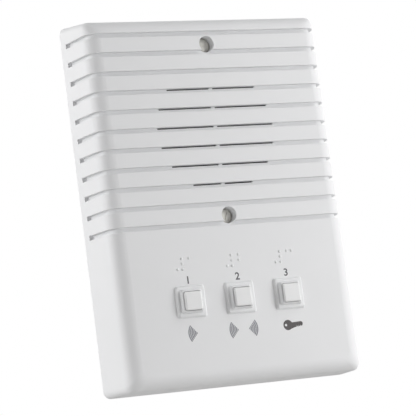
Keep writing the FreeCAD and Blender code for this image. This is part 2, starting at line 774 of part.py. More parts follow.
def speaker_spider():
    """Corrugated disc from the coil former out to a flat lip on the basket's floor."""
    y_lip = BASKET_BACK - BASKET_SHEET
    inner = FORMER_RADIUS + FORMER_SHEET
    flat = SPIDER_OUTER - LIP_WIDTH
    steps = 2 * SPIDER_WAVES
    front = []
    for i in range(steps + 1):
        r = inner + (flat - inner) * i / steps
        y = y_lip - SPIDER_SHEET - (SPIDER_WAVE if i % 2 == 0 and i < steps else 0)
        front.append((r, y))
    front.append((SPIDER_OUTER, y_lip - SPIDER_SHEET))
    back = [(r, y + SPIDER_SHEET) for r, y in reversed(front)]
    return turned(front + back)


def gap_radius():
    return FORMER_RADIUS + FORMER_SHEET + WINDING_THICKNESS + GAP_CLEARANCE


def speaker_top_plate():
    return ring(TOP_PLATE_RADIUS, gap_radius(), BASKET_BACK, BASKET_BACK + TOP_PLATE)


def speaker_magnet():
    y0 = BASKET_BACK + TOP_PLATE
    return ring(MAGNET_RADIUS, MAGNET_BORE, y0, y0 + MAGNET_THICKNESS)


def speaker_yoke():
    y0 = BASKET_BACK + TOP_PLATE + MAGNET_THICKNESS
    return disc(YOKE_RADIUS, y0, y0 + YOKE_PLATE).fuse(disc(POLE_RADIUS, BASKET_BACK, y0 + EMBED))


def tag_xs():
    middle = strip_centre().x + TAG_SHIFT
    return (middle - TAG_SPACING / 2, middle + TAG_SPACING / 2)


def strip_back():
    return FLANGE_BACK + STRIP_STAND_OFF + STRIP_THICKNESS


def tag_end():
    return strip_centre().z - STRIP_WIDTH / 2 - TAG_STICK_OUT


def speaker_tag_strip():
    y0 = FLANGE_BACK + STRIP_STAND_OFF
    at = strip_centre()
    return block_at(at.x, at.z, STRIP_LENGTH, STRIP_WIDTH, y0, strip_back())


def speaker_tags():
    tags = []
    for x in tag_xs():
        tags.append(block(x - TAG_WIDTH / 2, x + TAG_WIDTH / 2, strip_back(), strip_back() + TAG_THICKNESS,
                          tag_end(), tag_end() + TAG_LENGTH))
    return group(tags)


def clamp_parts():
    """One clamp along +X: a foot on the post, a step down and a finger on the flange."""
    middle = SPEAKER_RADIUS + CLAMP_POST_OFFSET
    post_edge = middle - CLAMP_POST_RADIUS
    step_out = post_edge - CLAMP_GAP
    step_in = step_out - CLAMP_SHEET
    w = CLAMP_WIDTH / 2
    foot = block(step_in, middle + CLAMP_POST_RADIUS, CLAMP_POST_TOP, CLAMP_POST_TOP + CLAMP_SHEET, -w, w)
    step = block(step_in, step_out, FLANGE_BACK, CLAMP_POST_TOP + CLAMP_SHEET, -w, w)
    finger = block(SPEAKER_RADIUS - CLAMP_REACH, step_out, FLANGE_BACK, FLANGE_BACK + CLAMP_SHEET, -w, w)
    hole = disc(SMALL_SCREW_RADIUS + BOARD_HOLE_CLEARANCE, CLAMP_POST_TOP - 1, CLAMP_POST_TOP + 2, middle, 0)
    return foot.fuse([step, finger]).cut(hole)


def speaker_clamps():
    return group([turned_to(clamp_parts(), a) for a in CLAMP_ANGLES])


def clamp_screws():
    seat = CLAMP_POST_TOP + CLAMP_SHEET
    bite = CLAMP_SHEET + SMALL_SCREW_BITE - SMALL_SCREW_TIP_GAP
    return group([small_screw(seat, p.x, p.z, bite) for p in clamp_places()])


def board_screws():
    bite = BOARD_THICKNESS + SMALL_SCREW_BITE - SMALL_SCREW_TIP_GAP
    return group([small_screw(BOARD_BACK, x, z, bite) for x, z in board_hole_places()])


def circuit_board():
    board = block(-BOARD_WIDTH / 2, BOARD_WIDTH / 2, BOARD_FRONT, BOARD_BACK, BOARD_BOTTOM, BOARD_TOP)
    corners = [e for e in board.Edges if abs(e.Vertexes[0].Y - e.Vertexes[-1].Y) > BOARD_THICKNESS / 2]
    board = board.makeFillet(BOARD_CORNER, corners)
    holes = [disc(SMALL_SCREW_RADIUS + BOARD_HOLE_CLEARANCE, BOARD_FRONT - 1, BOARD_BACK + 1, x, z)
             for x, z in board_hole_places()]
    for x in button_xs():
        for px, pz in pin_places(x):
            holes.append(block_at(px, pz, PIN_THICKNESS + 2 * PIN_CLEARANCE, PIN_WIDTH + 2 * PIN_CLEARANCE,
                                  BOARD_FRONT - 1, BOARD_BACK + 1))
    return board.cut(holes)


def terminal_xs():
    return [(i - (TERMINAL_WAYS - 1) / 2) * TERMINAL_PITCH for i in range(TERMINAL_WAYS)]


def terminal_block():
    """Screw terminals for the wall wires: screw wells face the wall, wire holes face up."""
    width = TERMINAL_WAYS * TERMINAL_PITCH
    back = BOARD_BACK + TERMINAL_HEIGHT
    body = block_at(0, TERMINAL_Z, width, TERMINAL_DEPTH, BOARD_BACK, back)
    top = TERMINAL_Z + TERMINAL_DEPTH / 2
    cuts = []
    for x in terminal_xs():
        cuts.append(disc(TERMINAL_WELL, back - TERMINAL_WELL_DEPTH, back + 1, x, TERMINAL_Z))
        cuts.append(Part.makeCylinder(TERMINAL_ENTRY, TERMINAL_ENTRY_DEPTH + 1,
                                      vec(x, BOARD_BACK + TERMINAL_ENTRY_LEVEL, top + 1), vec(0, 0, -1)))
    return body.cut(cuts)


def terminal_screws():
    floor = BOARD_BACK + TERMINAL_HEIGHT - TERMINAL_WELL_DEPTH
    screws = []
    for x in terminal_xs():
        head = disc(TERMINAL_SCREW_RADIUS, floor, floor + TERMINAL_SCREW_HEIGHT, x, TERMINAL_Z)
        slot = block_at(x, TERMINAL_Z, CROSS_WIDTH, 3 * TERMINAL_SCREW_RADIUS,
                        floor + TERMINAL_SCREW_HEIGHT - CROSS_DEPTH, floor + TERMINAL_SCREW_HEIGHT + 1)
        screws.append(head.cut(slot))
    return group(screws)


def header_top():
    return BOARD_TOP - HEADER_EDGE_GAP


def header_box(inset, z0, z1):
    """Block of the header's outline moved in on four sides, between two heights."""
    half = HEADER_WIDTH / 2 - inset
    return block(HEADER_X - half, HEADER_X + half,
                 BOARD_BACK + inset, BOARD_BACK + HEADER_HEIGHT - inset, z0, z1)


def lead_header():
    """Side-entry header: its mouth opens upwards, over the board's top edge."""
    shell = header_box(0, header_top() - HEADER_LENGTH, header_top())
    return shell.cut(header_box(HEADER_WALL, header_top() - HEADER_LENGTH + HEADER_FLOOR, header_top() + 1))


def pin_xs():
    return (HEADER_X - HEADER_PIN_PITCH / 2, HEADER_X + HEADER_PIN_PITCH / 2)


def header_level():
    return BOARD_BACK + HEADER_HEIGHT / 2


def pin_box(x, side, z0, z1):
    h = side / 2
    return block(x - h, x + h, header_level() - h, header_level() + h, z0, z1)


def plug_bottom():
    return header_top() - HEADER_LENGTH + HEADER_FLOOR


def header_pins():
    z0 = plug_bottom()
    return group([pin_box(x, HEADER_PIN, z0, z0 + HEADER_PIN_LENGTH) for x in pin_xs()])


def lead_plug():
    z0 = plug_bottom()
    body = header_box(HEADER_WALL + PLUG_CLEARANCE, z0, z0 + PLUG_LENGTH)
    top = [e for e in body.Edges if all(abs(v.Z - z0 - PLUG_LENGTH) < 1e-6 for v in e.Vertexes)]
    body = body.makeChamfer(PLUG_EDGE, top)
    return body.cut([pin_box(x, HEADER_PIN, z0 - 1, z0 + HEADER_PIN_LENGTH) for x in pin_xs()])


def routed(points):
    """Path of straight runs joined by tangent arcs, each as large as its two runs allow."""
    edges = []
    here = points[0]
    for before, corner, after in zip(points, points[1:], points[2:]):
        inward = corner.sub(before)
        outward = after.sub(corner)
        run = min(inward.Length, outward.Length)
        turn = inward.getAngle(outward)
        radius = LEAD_BEND * run / math.tan(turn / 2)
        inward.normalize()
        outward.normalize()
        start = corner.sub(FreeCAD.Vector(inward).multiply(LEAD_BEND * run))
        end = corner.add(FreeCAD.Vector(outward).multiply(LEAD_BEND * run))
        edges.append(Part.LineSegment(here, start).toShape())
        edges.append(arc_between(start, inward, end))
        print("lead bend radius", round(radius, 2))
        here = end
    edges.append(Part.LineSegment(here, points[-1]).toShape())
    return edges


def speaker_lead(pin_x, tag_x):
    """Insulated lead from the plug's top up to the end of one speaker tag."""
    tag_level = strip_back() + TAG_THICKNESS / 2
    start = vec(pin_x, header_level(), plug_bottom() + PLUG_LENGTH)
    end = vec(tag_x, tag_level, tag_end())
    rise = end.z - start.z
    sideways = end.x - start.x
    forward = end.y - start.y
    points = [
        start,
        start.add(vec(0, 0, 0.25 * rise)),
        start.add(vec(0.30 * sideways, 0.22 * forward, 0.45 * rise)),
        start.add(vec(0.75 * sideways, 0.72 * forward, 0.60 * rise)),
        end.sub(vec(0, 0, 0.22 * rise)),
        end,
    ]
    edges = routed(points)
    length = sum(e.Length for e in edges)
    lead = tube(edges, LEAD_RADIUS, start, vec(0, 0, 1))
    section = math.pi * LEAD_RADIUS ** 2
    print("lead volume over section times length", round(lead.Volume / (section * length), 4))
    return lead


def capacitors():
    cans = []
    for x, drop in CAPACITOR_PLACES:
        z = BOARD_TOP - drop
        can = disc(CAPACITOR_RADIUS, BOARD_FRONT - CAPACITOR_HEIGHT, BOARD_FRONT, x, z)
        rim = [e for e in can.Edges if abs(e.CenterOfMass.y - BOARD_FRONT + CAPACITOR_HEIGHT) < 1e-6]
        cans.append(can.makeFillet(CAPACITOR_EDGE, rim))
    return group(cans)


def resistors():
    """Small film resistors that lie on the board, fuller at both ends."""
    bodies = []
    for x, drop in RESISTOR_PLACES:
        z = BOARD_TOP - drop
        y = BOARD_FRONT - RESISTOR_RADIUS
        x0 = x - RESISTOR_LENGTH / 2
        end = RESISTOR_LENGTH / 4
        waist_radius = RESISTOR_RADIUS - RESISTOR_WAIST
        middle = Part.makeCylinder(waist_radius, RESISTOR_LENGTH, vec(x0, y, z), vec(1, 0, 0))
        ends = [Part.makeCylinder(RESISTOR_RADIUS, end, vec(px, y, z), vec(1, 0, 0))
                for px in (x0, x0 + RESISTOR_LENGTH - end)]
        bodies.append(middle.fuse(ends))
    return group(bodies)


def amplifier_chip():
    back = BOARD_FRONT - CHIP_LIFT
    body = block_at(CHIP_X, CHIP_Z, CHIP_LENGTH, CHIP_WIDTH, back - CHIP_HEIGHT, back)
    front = back - CHIP_HEIGHT
    notch = disc(CHIP_WIDTH / 8, front - 1, front + CHIP_HEIGHT / 6, CHIP_X - CHIP_LENGTH / 2, CHIP_Z)
    return body.cut(notch)


def chip_legs():
    """Legs bent down from both long sides of the chip to the board."""
    legs = []
    level = BOARD_FRONT - CHIP_LIFT - CHIP_LEG_LEVEL
    for i in range(CHIP_LEGS):
        x = CHIP_X + (i - (CHIP_LEGS - 1) / 2) * CHIP_PITCH
        for side in (-1, 1):
            edge = CHIP_Z + side * CHIP_WIDTH / 2
            z0, z1 = sorted((edge, edge + side * CHIP_LEG_SHEET))
            legs.append(block(x - CHIP_LEG_WIDTH / 2, x + CHIP_LEG_WIDTH / 2, level, BOARD_FRONT, z0, z1))
    return group(legs)


os.makedirs("parts", exist_ok=True)

write("front_cover", front_cover())
write("mounting_screws", group([mounting_screw(z) for z in screw_heights()]))
for place, x in zip(("left", "centre", "right"), button_xs()):
    write("button_cap_" + place, button_cap(x))
    write("plunger_" + place, plunger(x))
    write("return_spring_" + place, return_spring(x))
    write("switch_housing_" + place, switch_housing(x))
write("switch_pins", switch_pins())
write("speaker_cloth", speaker_cloth())
write("speaker_gasket", speaker_gasket())
write("speaker_basket", speaker_basket())
write("speaker_surround", speaker_surround())
write("speaker_cone", speaker_cone())
write("speaker_dust_cap", speaker_dust_cap())
write("coil_former", coil_former())
write("coil_winding", coil_winding())
write("speaker_spider", speaker_spider())
write("speaker_top_plate", speaker_top_plate())
write("speaker_magnet", speaker_magnet())
write("speaker_yoke", speaker_yoke())
write("speaker_tag_strip", speaker_tag_strip())
write("speaker_tags", speaker_tags())
write("speaker_clamps", speaker_clamps())
write("clamp_screws", clamp_screws())
write("circuit_board", circuit_board())
write("board_screws", board_screws())
write("terminal_block", terminal_block())
write("terminal_screws", terminal_screws())
write("lead_header", lead_header())
write("header_pins", header_pins())
write("lead_plug", lead_plug())
for name, pin_x, tag_x in zip(("speaker_lead_a", "speaker_lead_b"), pin_xs(), tag_xs()):
    write(name, speaker_lead(pin_x, tag_x))
write("capacitors", capacitors())
write("resistors", resistors())
write("amplifier_chip", amplifier_chip())
write("chip_legs", chip_legs())
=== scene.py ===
"""Looks of the indoor intercom unit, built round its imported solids.

X points right, Y into the wall and Z up. Lengths on the object are written in millimetres, and mm() turns
them into metres. The camera, floor, lamps and materials are in metres, and written angles in degrees.
"""
import json
import math

import bmesh
import bpy
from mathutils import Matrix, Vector


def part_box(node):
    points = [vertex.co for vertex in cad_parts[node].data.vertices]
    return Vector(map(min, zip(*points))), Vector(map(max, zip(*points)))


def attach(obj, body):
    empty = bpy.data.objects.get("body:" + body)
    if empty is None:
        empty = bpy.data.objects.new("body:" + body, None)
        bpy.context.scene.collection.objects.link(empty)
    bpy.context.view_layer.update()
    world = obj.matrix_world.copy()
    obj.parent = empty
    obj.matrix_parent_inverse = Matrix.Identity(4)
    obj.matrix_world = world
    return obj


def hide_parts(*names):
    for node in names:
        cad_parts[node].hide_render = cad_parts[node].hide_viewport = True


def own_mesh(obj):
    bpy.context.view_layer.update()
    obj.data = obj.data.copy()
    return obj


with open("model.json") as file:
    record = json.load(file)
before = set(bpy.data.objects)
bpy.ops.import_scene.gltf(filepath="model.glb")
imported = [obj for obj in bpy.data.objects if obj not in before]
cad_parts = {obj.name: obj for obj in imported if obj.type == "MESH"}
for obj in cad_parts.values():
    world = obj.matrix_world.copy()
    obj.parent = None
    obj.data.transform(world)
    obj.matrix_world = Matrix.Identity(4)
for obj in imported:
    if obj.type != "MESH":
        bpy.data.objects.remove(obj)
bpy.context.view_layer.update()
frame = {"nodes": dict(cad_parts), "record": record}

nodes = frame["nodes"]

MM = 0.001
SIDES = ("left", "centre", "right")
BUTTON_X = {"left": -25.8, "centre": 0.0, "right": 25.8}
BUTTON_Z = -81.4
FACE_Y = -25.4
WHITE = (1.0, 1.0, 1.0, 1.0)


def mm(x, y, z):
    return Vector((x, y, z)) * MM


def on_circle(centre, radius, angle):
    """The point of a circle at that angle, in radians."""
    return centre[0] + radius * math.cos(angle), centre[1] + radius * math.sin(angle)


def around(centre, radius, count):
    """Points spaced evenly round a circle."""
    return [on_circle(centre, radius, 2 * math.pi * j / count) for j in range(count)]


def link(item):
    bpy.context.scene.collection.objects.link(item)


# Camera, at the photograph's angle

CAMERA_AT = (-0.436375, -0.905483, -0.172148)
CAMERA_TURN = (97.8845, 7.42379, -24.79208)
CAMERA_LENS = 181.009


def make_camera():
    data = bpy.data.cameras.new("camera")
    data.sensor_width = 36.0
    data.lens = CAMERA_LENS
    data.clip_start = 0.05
    data.clip_end = 20.0
    camera = bpy.data.objects.new("camera", data)
    camera.location = CAMERA_AT
    camera.rotation_euler = [math.radians(a) for a in CAMERA_TURN]
    link(camera)
    bpy.context.scene.camera = camera


# Node helpers

# The range that nearly all of a noise texture's values lie in
NOISE_LOW = 0.35
NOISE_HIGH = 0.65


def new_material(name):
    material = bpy.data.materials.new(name)
    material.use_nodes = True
    tree = material.node_tree
    return material, tree, tree.nodes["Principled BSDF"]


def add(tree, kind, **values):
    """A node of that kind, with these settings."""
    node = tree.nodes.new(kind)
    for key, value in values.items():
        setattr(node, key, value)
    return node


def place(tree):
    return add(tree, "ShaderNodeTexCoord").outputs["Object"]


def noise(tree, where, scale, detail=2.0, roughness=0.5, stretch=None):
    """Noise at that scale. stretch multiplies the scale along each axis."""
    node = add(tree, "ShaderNodeTexNoise")
    node.inputs["Scale"].default_value = scale
    node.inputs["Detail"].default_value = detail
    node.inputs["Roughness"].default_value = roughness
    if stretch:
        mapping = add(tree, "ShaderNodeMapping")
        mapping.inputs["Scale"].default_value = stretch
        tree.links.new(where, mapping.inputs["Vector"])
        where = mapping.outputs["Vector"]
    tree.links.new(where, node.inputs["Vector"])
    return node.outputs["Fac"]


def ranged(tree, value, low, high):
    """A noise value spread out from low to high."""
    node = add(tree, "ShaderNodeMapRange")
    node.inputs["From Min"].default_value = NOISE_LOW
    node.inputs["From Max"].default_value = NOISE_HIGH
    node.inputs["To Min"].default_value = low
    node.inputs["To Max"].default_value = high
    tree.links.new(value, node.inputs["Value"])
    return node.outputs["Result"]


def put(tree, socket, value):
    """Links a socket to another, or sets it to a number or a colour."""
    if isinstance(value, bpy.types.NodeSocket):
        tree.links.new(value, socket)
    elif isinstance(value, tuple):
        socket.default_value = (*value, 1.0)
    else:
        socket.default_value = value


def tinted(tree, factor, first, second):
    """A colour between two, each of them a colour or a socket."""
    node = add(tree, "ShaderNodeMix", data_type="RGBA")
    colours = [s for s in node.inputs if s.type == "RGBA"]
    for socket, value in zip(colours, (first, second)):
        put(tree, socket, value)
    tree.links.new(factor, node.inputs["Factor"])
    return next(s for s in node.outputs if s.type == "RGBA")


def math_node(tree, operation, a, b):
    node = add(tree, "ShaderNodeMath", operation=operation)
    for socket, value in zip(node.inputs, (a, b)):
        put(tree, socket, value)
    return node.outputs[0]


def bumped(tree, shader, height, distance):
    node = add(tree, "ShaderNodeBump")
    node.inputs["Distance"].default_value = distance
    node.inputs["Strength"].default_value = 1.0
    tree.links.new(height, node.inputs["Height"])
    tree.links.new(node.outputs["Normal"], shader.inputs["Normal"])


def shade(colour, factor):
    return tuple(min(1.0, c * factor) for c in colour)


# Stage: floor, world and lamps

FLOOR_Z = -0.3
FLOOR_SIZE = 6.0
FLOOR_TINTS = ((0.62, 0.615, 0.605), (0.65, 0.645, 0.635))
FLOOR_BLOTCH = 3.0
# What the background's rays see in place of the paper: this colour, with this much glow added
FLOOR_SEEN = (0.36, 0.357, 0.35)
FLOOR_LIFT = 0.5
# Strength of the world's light on the object, and of the white that the background's rays see
AMBIENT = 0.2
BACKDROP = 1.0
# The point that the lamps face, then each lamp's place, its two sides and its power
AIM = (0.0, -0.012, -0.032)
LAMPS = {
    "lamp_behind_left": ((-0.85, 0.5, 0.45), (0.6, 0.6), 4.2),
    "lamp_left": ((-1.1, -0.05, 0.1), (0.6, 0.6), 4.8),
    "lamp_front_right": ((0.62, -0.52, 0.35), (0.35, 1.0), 4.65),
    "lamp_low_right": ((0.57, -0.5, -0.15), (0.42, 0.1), 1.7),
}


def background_rays(tree):
    """1 for the rays that show the background: the camera's own, and those off metal and through glass."""
    path = add(tree, "ShaderNodeLightPath")
    either = math_node(tree, "MAXIMUM", path.outputs["Is Camera Ray"], path.outputs["Is Glossy Ray"])
    return math_node(tree, "MAXIMUM", either, path.outputs["Is Transmission Ray"])


def make_floor():
    data = bpy.data.meshes.new("floor")
    half = FLOOR_SIZE / 2
    corners = [(-half, -half, FLOOR_Z), (half, -half, FLOOR_Z), (half, half, FLOOR_Z), (-half, half, FLOOR_Z)]
    data.from_pydata(corners, [], [(0, 1, 2, 3)])
    floor = bpy.data.objects.new("floor", data)
    link(floor)
    material, tree, shader = new_material("floor_paper")
    paper = tinted(tree, noise(tree, place(tree), FLOOR_BLOTCH), *FLOOR_TINTS)
    seen = background_rays(tree)
    tree.links.new(tinted(tree, seen, paper, FLOOR_SEEN), shader.inputs["Base Color"])
    shader.inputs["Roughness"].default_value = 0.9
    shader.inputs["Emission Color"].default_value = WHITE
    tree.links.new(math_node(tree, "MULTIPLY", seen, FLOOR_LIFT), shader.inputs["Emission Strength"])
    data.materials.append(material)


def make_world():
    world = bpy.data.worlds.new("studio")
    bpy.context.scene.world = world
    world.use_nodes = True
    tree = world.node_tree
    tree.nodes.clear()
    mix = add(tree, "ShaderNodeMixShader")
    tree.links.new(background_rays(tree), mix.inputs[0])
    for socket, strength in zip(mix.inputs[1:], (AMBIENT, BACKDROP)):
        light = add(tree, "ShaderNodeBackground")
        light.inputs["Color"].default_value = WHITE
        light.inputs["Strength"].default_value = strength
        tree.links.new(light.outputs[0], socket)
    out = add(tree, "ShaderNodeOutputWorld")
    tree.links.new(mix.outputs[0], out.inputs["Surface"])


def make_lamps():
    for name, (at, sides, power) in LAMPS.items():
        data = bpy.data.lights.new(name, "AREA")
        data.shape = "RECTANGLE"
        data.size, data.size_y = sides
        data.energy = power
        lamp = bpy.data.objects.new(name, data)
        lamp.location = at
        lamp.visible_camera = False
        lamp.rotation_euler = (Vector(AIM) - Vector(at)).to_track_quat("-Z", "Y").to_euler()
        link(lamp)


# Materials

# Draws the noise on the coil's winding out into rings about the Y axis
WINDING_STRETCH = (0.05, 1.0, 0.05)
# Finishes of the record's slots: colour, roughness and how far it varies, how far the colour varies, scale of
# its blotches, scale and depth of the grain, metallic, specular level and the noise's stretch
FINISHES = {
    "cover_white": ((0.825, 0.828, 0.838), 0.5, 0.03, 0.006, 25.0, 1800.0, 0.000004, 0.0, 0.25),
    "cap_white": ((0.825, 0.826, 0.83), 0.45, 0.03, 0.008, 90.0, 3500.0, 0.000003),
    "plated_steel": ((0.7, 0.69, 0.65), 0.55, 0.08, 0.08, 500.0, 9000.0, 0.000004, 0.55),
    "grey_board": ((0.35, 0.34, 0.32), 0.85, 0.05, 0.12, 300.0, 4000.0, 0.00003),
    "basket_steel": ((0.05, 0.05, 0.055), 0.42, 0.06, 0.08, 120.0, 2500.0, 0.000012),
    "black_rubber": ((0.03, 0.03, 0.03), 0.6, 0.06, 0.1, 200.0, 3000.0, 0.000008),
    "black_paper": ((0.03, 0.03, 0.031), 0.8, 0.05, 0.25, 600.0, 2500.0, 0.00004),
    "brown_paper": ((0.45, 0.3, 0.16), 0.75, 0.05, 0.12, 400.0, 3000.0, 0.00002),
    "copper_wire": ((0.72, 0.33, 0.16), 0.25, 0.05, 0.05, 300.0, 2500.0, 0.00003, 1.0, 0.5, WINDING_STRETCH),
    "zinc_steel": ((0.66, 0.66, 0.64), 0.34, 0.08, 0.07, 350.0, 5000.0, 0.000006, 1.0),
    "ferrite": ((0.06, 0.06, 0.065), 0.5, 0.08, 0.15, 500.0, 4000.0, 0.00001),
    "brown_laminate": ((0.3, 0.16, 0.07), 0.5, 0.05, 0.1, 500.0, 5000.0, 0.00001),
    "tinned_brass": ((0.74, 0.72, 0.66), 0.3, 0.08, 0.06, 700.0, 8000.0, 0.000005, 1.0),
    "green_laminate": ((0.02, 0.17, 0.07), 0.3, 0.05, 0.1, 200.0, 2500.0, 0.000008),
    "terminal_green": ((0.04, 0.3, 0.13), 0.42, 0.04, 0.05, 150.0, 3000.0, 0.000006),
    "nylon_white": ((0.78, 0.77, 0.71), 0.42, 0.04, 0.03, 200.0, 3000.0, 0.000005),
    "plunger_nylon": ((0.7, 0.69, 0.65), 0.4, 0.04, 0.03, 200.0, 3000.0, 0.000004),
    "spring_steel": ((0.6, 0.6, 0.6), 0.28, 0.06, 0.05, 800.0, 9000.0, 0.000004, 1.0),
    "switch_black": ((0.03, 0.03, 0.032), 0.45, 0.05, 0.08, 200.0, 3000.0, 0.000008),
    "lead_red": ((0.45, 0.02, 0.02), 0.4, 0.04, 0.05, 300.0, 3000.0, 0.000004),
    "lead_black": ((0.02, 0.02, 0.02), 0.4, 0.04, 0.05, 300.0, 3000.0, 0.000004),
    "capacitor_sleeve": ((0.03, 0.04, 0.12), 0.25, 0.04, 0.05, 200.0, 2000.0, 0.000004),
    "resistor_lacquer": ((0.62, 0.47, 0.28), 0.35, 0.04, 0.05, 400.0, 3000.0, 0.000006),
    "chip_black": ((0.025, 0.025, 0.025), 0.55, 0.05, 0.1, 500.0, 4000.0, 0.00001),
}
# The same for what only this script adds: print, solder, braids and covered tracks
OWN_FINISHES = {
    "ink_grey": ((0.075, 0.072, 0.08), 0.5, 0.04, 0.1, 900.0, 6000.0, 0.000003),
    "ink_pale": ((0.25, 0.25, 0.275), 0.5, 0.04, 0.06, 900.0, 6000.0, 0.000003),
    "ink_black": ((0.055, 0.048, 0.048), 0.5, 0.04, 0.1, 900.0, 6000.0, 0.000003),
    "solder": ((0.62, 0.62, 0.6), 0.28, 0.1, 0.08, 900.0, 5000.0, 0.00001, 1.0),
    "braid": ((0.68, 0.55, 0.42), 0.4, 0.08, 0.2, 2500.0, 6000.0, 0.00006, 1.0),
    "covered_copper": ((0.05, 0.29, 0.12), 0.28, 0.05, 0.1, 250.0, 2500.0, 0.000006),
    "print_white": ((0.75, 0.76, 0.74), 0.6, 0.05, 0.08, 700.0, 4000.0, 0.000004),
}
# Cloths of the record's slots: colour and pitch of the threads
WEAVES = {
    "black_cloth": ((0.02, 0.018, 0.02), 0.0005),
    "amber_cloth": ((0.5, 0.3, 0.08), 0.0006),
}
WEAVE_SHADES = (0.5, 1.5)
WEAVE_DEPTH = 0.00006


def finish_of(name, colour, roughness, spread, mottle, blotch, grain, depth, metallic=0.0, specular=0.5,
              stretch=None):
    """Base material: blotched colour, uneven roughness and a fine grain, each at its own scale."""
    material, tree, shader = new_material(name)
    where = place(tree)
    blotches = ranged(tree, noise(tree, where, blotch, detail=3.0), 0.0, 1.0)
    mottled = tinted(tree, blotches, shade(colour, 1 - mottle), shade(colour, 1 + mottle))
    tree.links.new(mottled, shader.inputs["Base Color"])
    uneven = noise(tree, where, blotch * 3, stretch=stretch)
    tree.links.new(ranged(tree, uneven, roughness - spread, roughness + spread), shader.inputs["Roughness"])
    bumped(tree, shader, noise(tree, where, grain, roughness=0.6, stretch=stretch), depth)
    shader.inputs["Metallic"].default_value = metallic
    shader.inputs["Specular IOR Level"].default_value = specular
    return material


def woven(name, colour, pitch):
    """Cloth of crossed threads with that pitch, in the plane of the face."""
    material, tree, shader = new_material(name)
    where = place(tree)
    waves = []
    for direction in ("X", "Z"):
        wave = add(tree, "ShaderNodeTexWave", wave_type="BANDS", bands_direction=direction)
        # At scale 1 the bands lie a tenth of pi apart
        wave.inputs["Scale"].default_value = math.pi / (10.0 * pitch)
        wave.inputs["Distortion"].default_value = 0.4
        wave.inputs["Detail"].default_value = 1.0
        tree.links.new(where, wave.inputs["Vector"])
        waves.append(wave.outputs["Fac"])
    threads = math_node(tree, "MAXIMUM", *waves)
    dark, light = (shade(colour, factor) for factor in WEAVE_SHADES)
    tree.links.new(tinted(tree, threads, dark, light), shader.inputs["Base Color"])
    bumped(tree, shader, threads, WEAVE_DEPTH)
    shader.inputs["Roughness"].default_value = 0.85
    return material


def make_materials():
    made = {}
    for name, values in {**FINISHES, **OWN_FINISHES}.items():
        made[name] = finish_of(name, *values)
    for name, values in WEAVES.items():
        made[name] = woven(name, *values)
    return made


def dress_nodes(materials):
    for part in frame["record"]["subparts"]:
        data = nodes[part["node"]].data
        data.materials.clear()
        data.materials.append(materials[part["material_slot"]])


# Pieces

# Roundness of a wire's section, and how finely a smooth wire is cut between its points
WIRE_FACETS = 3
WIRE_STEPS = 16
# Half the thickness of print
INK = 0.03


def object_piece(name, data):
    """A piece that rides on the unit."""
    piece = bpy.data.objects.new(name, data)
    link(piece)
    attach(piece, "unit")
    return piece


def mesh_piece(name, verts, faces, material, slot=None, sharp=None):
    """A mesh that rides on the unit. sharp is the angle past which its smooth shading breaks."""
    data = bpy.data.meshes.new(name)
    data.from_pydata(verts, [], faces)
    data.validate()
    if sharp:
        data.shade_smooth()
        data.set_sharp_from_angle(angle=math.radians(sharp))
    data.materials.append(material)
    return object_piece(name, data)


def gathered(parts):
    """One list of vertices and faces from several."""
    verts, faces = [], []
    for more_verts, more_faces in parts:
        base = len(verts)
        verts += more_verts
        faces += [[base + i for i in face] for face in more_faces]
    return verts, faces


def tube_faces(rings, count):
    """Faces over rings of that many vertices each, with a cap at both ends."""
    faces = []
    for i in range(rings - 1):
        for j in range(count):
            k = (j + 1) % count
            faces.append([i * count + k, i * count + j, (i + 1) * count + j, (i + 1) * count + k])
    last = (rings - 1) * count
    faces.append(list(range(count)))
    faces.append([last + j for j in reversed(range(count))])
    return faces


def turned(centre, profile, count=20):
    """A profile of (radius, y) turned about the Y axis through centre (x, z), closed at both ends."""
    verts = []
    for radius, y in profile:
        verts += [mm(x, y, z) for x, z in around(centre, radius, count)]
    return verts, tube_faces(len(profile), count)


def wire_curve(name, points, radius, kind):
    """Round wire along points: a POLY line, or a NURBS spline that has them as its control points."""
    data = bpy.data.curves.new(name, "CURVE")
    data.dimensions = "3D"
    data.bevel_depth = radius * MM
    data.bevel_resolution = WIRE_FACETS
    data.use_fill_caps = True
    data.resolution_u = WIRE_STEPS
    spline = data.splines.new(kind)
    spline.points.add(len(points) - 1)
    for spot, at in zip(spline.points, points):
        spot.co = (*mm(*at), 1.0)
    if kind == "NURBS":
        spline.order_u = 3
        spline.use_endpoint_u = True
    return data


def number(name, digits, at, size, weight, material, turn=0.0):
    """Printed digits on a plane across Y, turned about Z."""
    data = bpy.data.curves.new(name, "FONT")
    data.body = digits
    data.size = size * MM
    data.offset = weight * MM
    data.align_x = "CENTER"
    data.align_y = "CENTER"
    data.extrude = INK * MM
    data.materials.append(material)
    piece = object_piece(name, data)
    piece.location = mm(*at)
    piece.rotation_euler = (math.radians(90.0), 0, math.radians(turn))


# Print on the face: numbers over the buttons, sound fans and a key under them

LABEL_Z = -71.4
LABEL_SIZE = 4.9
LABEL_WEIGHT = 0.09

# Each fan: the place of its apex, and 1 where that is on its right, -1 where it is on its left
FANS = {
    "fan_left": ((-24.2, -96.3), 1),
    "fan_centre_a": ((-2.9, -96.5), 1),
    "fan_centre_b": ((2.45, -96.4), -1),
}
FAN_BANDS = 6
FAN_REACH = 4.95
# Half the angle that a fan spans
FAN_HALF = 48.4
FAN_CENTRE = 1.5
FAN_STEPS = 12
# Share of a band that is left bare at either side
FAN_GAP = 0.13

